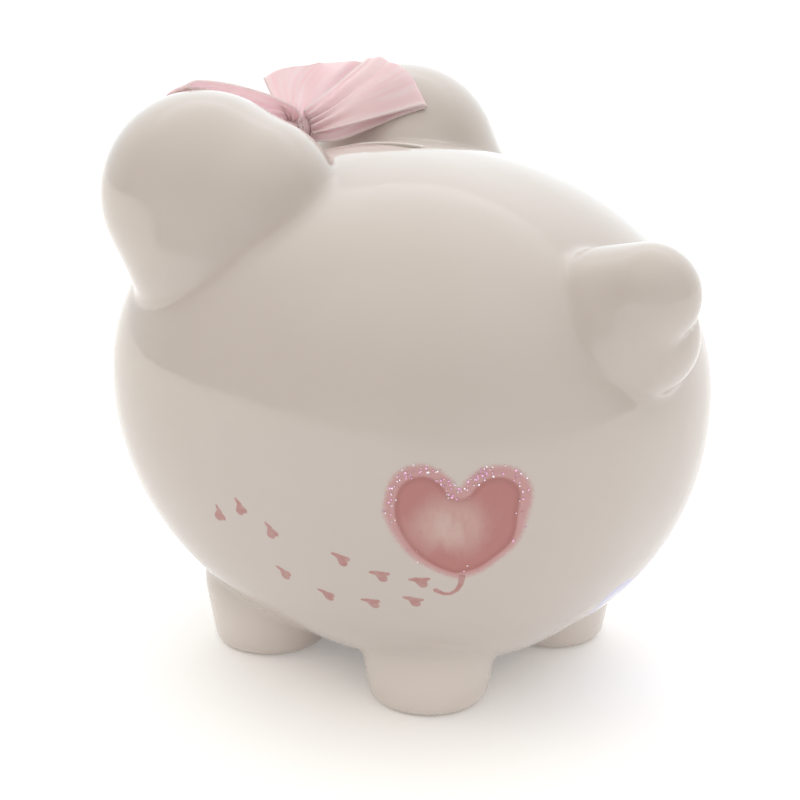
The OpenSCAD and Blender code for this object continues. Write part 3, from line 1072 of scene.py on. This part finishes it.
def rubber_material():
    """Soft off-white stopper with moulding haze and dust in the surface."""
    material, tree, shader = new_material("soft_stopper")
    place = add(tree, "TexCoord").outputs["Object"]
    haze = noise(tree, place, 160, 4, 0.6)
    colour = blend_colours(tree, step(tree, haze, 0.35, 0.75), RUBBER, RUBBER_DUSTY)
    tree.links.new(colour, shader.inputs["Base Color"])
    tree.links.new(step(tree, haze, 0.3, 0.7, 0.42, 0.62), shader.inputs["Roughness"])
    shader.inputs["Subsurface Weight"].default_value = 0.3
    shader.inputs["Subsurface Scale"].default_value = 0.004
    bump = add(tree, "Bump", 0.2, 0.0002, None, noise(tree, place, 1400, 2, 0.5))
    tree.links.new(bump.outputs[0], shader.inputs["Normal"])
    return material


def glue_material():
    """Hot glue: cloudy, nearly clear and wet-looking."""
    material, tree, shader = new_material("hot_glue")
    place = add(tree, "TexCoord").outputs["Object"]
    cloud = noise(tree, place, 260, 3, 0.6)
    tree.links.new(blend_colours(tree, cloud, GLUE_CLEAR, GLUE_MILKY), shader.inputs["Base Color"])
    tree.links.new(step(tree, cloud, 0.3, 0.8, 0.08, 0.25), shader.inputs["Roughness"])
    shader.inputs["Transmission Weight"].default_value = 0.35
    shader.inputs["IOR"].default_value = 1.48
    bump = add(tree, "Bump", 0.3, 0.0003, None, cloud)
    tree.links.new(bump.outputs[0], shader.inputs["Normal"])
    return material


# ---------------- stage
LENS, TILT = 82.8, 0.62
CAMERA_AT, LOOK_AT = (480.3, 386.1, 276.8), (4.04, -5.03, 88.67)
FLOOR_HALF = 6.0
FLOOR_NEAR, FLOOR_FAR_PAINTED_SHADE = (0.93, 0.93, 0.94), (0.62, 0.60, 0.57)
FLOOR_GLOW = 0.13
SHADE_FROM, SHADE_TO = 0.3, 2.2
DIM_SIDE = (0.78, 0.62, 0)
SEAM_GLOW = 0.9


def row(point):
    """A place in the pig's own frame, in millimetres, as a place in the row frame."""
    return Vector((np.array(point, float) + TO_ROW) * MM)


def make_camera():
    """Looks down at the rump and the left flank from behind."""
    data = bpy.data.cameras.new("camera")
    camera = bpy.data.objects.new("camera", data)
    bpy.context.collection.objects.link(camera)
    data.lens, data.sensor_width = LENS, 36.0
    data.clip_start, data.clip_end = 0.01, 50.0
    camera.location = row(CAMERA_AT)
    look = (row(LOOK_AT) - camera.location).to_track_quat("-Z", "Y")
    camera.rotation_mode = "QUATERNION"
    camera.rotation_quaternion = look @ Quaternion((0, 0, 1), math.radians(TILT))
    bpy.context.scene.camera = camera


def area_light(name, place, aim, size, power, colour):
    """A rectangular lamp that lights the bank but isn't seen in the glaze."""
    data = bpy.data.lights.new(name, "AREA")
    data.shape = "RECTANGLE"
    data.size, data.size_y = size
    data.energy = power
    data.color = colour
    light = bpy.data.objects.new(name, data)
    bpy.context.collection.objects.link(light)
    light.location = row(place)
    light.rotation_mode = "QUATERNION"
    light.rotation_quaternion = (row(aim) - light.location).to_track_quat("-Z", "Y")
    light.visible_glossy = False


def make_floor():
    """A pale floor whose colour is painted darker far in front of the bank, as painted shade where the room
    is dim, and which glows faintly near the bank as painted light.
    """
    mesh = bpy.data.meshes.new("floor")
    corners = [(x * FLOOR_HALF, y * FLOOR_HALF, 0) for x, y in ((-1, -1), (1, -1), (1, 1), (-1, 1))]
    mesh.from_pydata(corners, [], [(0, 1, 2, 3)])
    floor = bpy.data.objects.new("floor", mesh)
    bpy.context.collection.objects.link(floor)
    material, tree, shader = new_material("pale_floor")
    place = add(tree, "TexCoord").outputs["Object"]
    ahead = add(tree, "VectorMath", place, Vector(DIM_SIDE), operation="DOT_PRODUCT").outputs["Value"]
    shade = step(tree, ahead, SHADE_FROM, SHADE_TO)
    tree.links.new(blend_colours(tree, shade, FLOOR_NEAR, FLOOR_FAR_PAINTED_SHADE), shader.inputs["Base Color"])
    shader.inputs["Roughness"].default_value = 0.9
    shader.inputs["Emission Color"].default_value = (1, 1, 1, 1)
    # Painted light: the floor near the bank glows faintly, though it is no lamp.
    glow = step(tree, ahead, SHADE_FROM, SHADE_TO, FLOOR_GLOW, 0.0)
    tree.links.new(glow, shader.inputs["Emission Strength"])
    mesh.materials.append(material)


def make_world():
    """A white tent: bright behind and overhead, with a bright seam at the back and a dim side in front."""
    world = bpy.data.worlds.new("studio")
    bpy.context.scene.world = world
    world.use_nodes = True
    tree = world.node_tree
    way = add(tree, "TexCoord").outputs["Generated"]

    def toward(direction):
        """How much of the light comes from a direction, with none from the far half."""
        dot = add(tree, "VectorMath", way, Vector(direction).normalized(), operation="DOT_PRODUCT")
        return sums(tree, "MAXIMUM", dot.outputs["Value"], 0.0)

    height = add(tree, "SeparateXYZ", way).outputs["Z"]
    seam_low, seam_high = step(tree, height, 0.70, 0.73), step(tree, height, 0.73, 0.93, SEAM_GLOW, 0.0)
    seam = sums(tree, "MULTIPLY", seam_low, seam_high)
    behind = sums(tree, "MULTIPLY", toward((-0.78, -0.62, 0)), sums(tree, "ADD", seam, 1.5))
    overhead = sums(tree, "POWER", toward((0, 0, 1)), 2.0)
    beside = toward((-0.62, 0.78, 0))
    in_front = sums(tree, "MULTIPLY", toward(DIM_SIDE), step(tree, height, -0.05, 0.6, 0.7, 0.2))
    walls = [(behind, (0.93, 1.0, 1.05)), (overhead, (1.6, 1.57, 1.53)),
             (beside, (0.36, 0.34, 0.28)), (in_front, (1.05, 0.97, 0.89))]
    light = None
    for strength, colour in walls:
        wall = add(tree, "VectorMath", colour, None, None, strength, operation="SCALE").outputs[0]
        light = wall if light is None else add(tree, "VectorMath", light, wall, operation="ADD").outputs[0]
    tree.links.new(light, tree.nodes["Background"].inputs["Color"])


# ---------------- the whole scene
def make_glue():
    reach = np.array(GLUE_SIZE) + 1
    return make_moulded("glue_dab", glue_field, GLUE - reach, GLUE + reach, 0.45, "bank", "glue_pad")


def make_stopper():
    low, high = (-FLANGE_R, -FLANGE_R, GRIP_LOW), (FLANGE_R, FLANGE_R, PLUG_TOP)
    return make_moulded("soft_stopper", stopper_field, low, high, 0.6, "stopper", "stopper")


bpy.context.scene.view_settings.view_transform = "Standard"
make_camera()
make_floor()
make_world()
area_light("side_lamp", (750, -900, 900), (0, 0, 100), (0.8, 0.8), 3, (1.0, 0.9, 0.6))
for pieces, material in (
    (build_clay(), glaze_material()),
    ([make_glitter()], glitter_material()),
    (make_bow(), ribbon_material()),
    ([make_glue()], glue_material()),
    ([make_stopper()], rubber_material()),
):
    for piece in pieces:
        piece.data.materials.append(material)
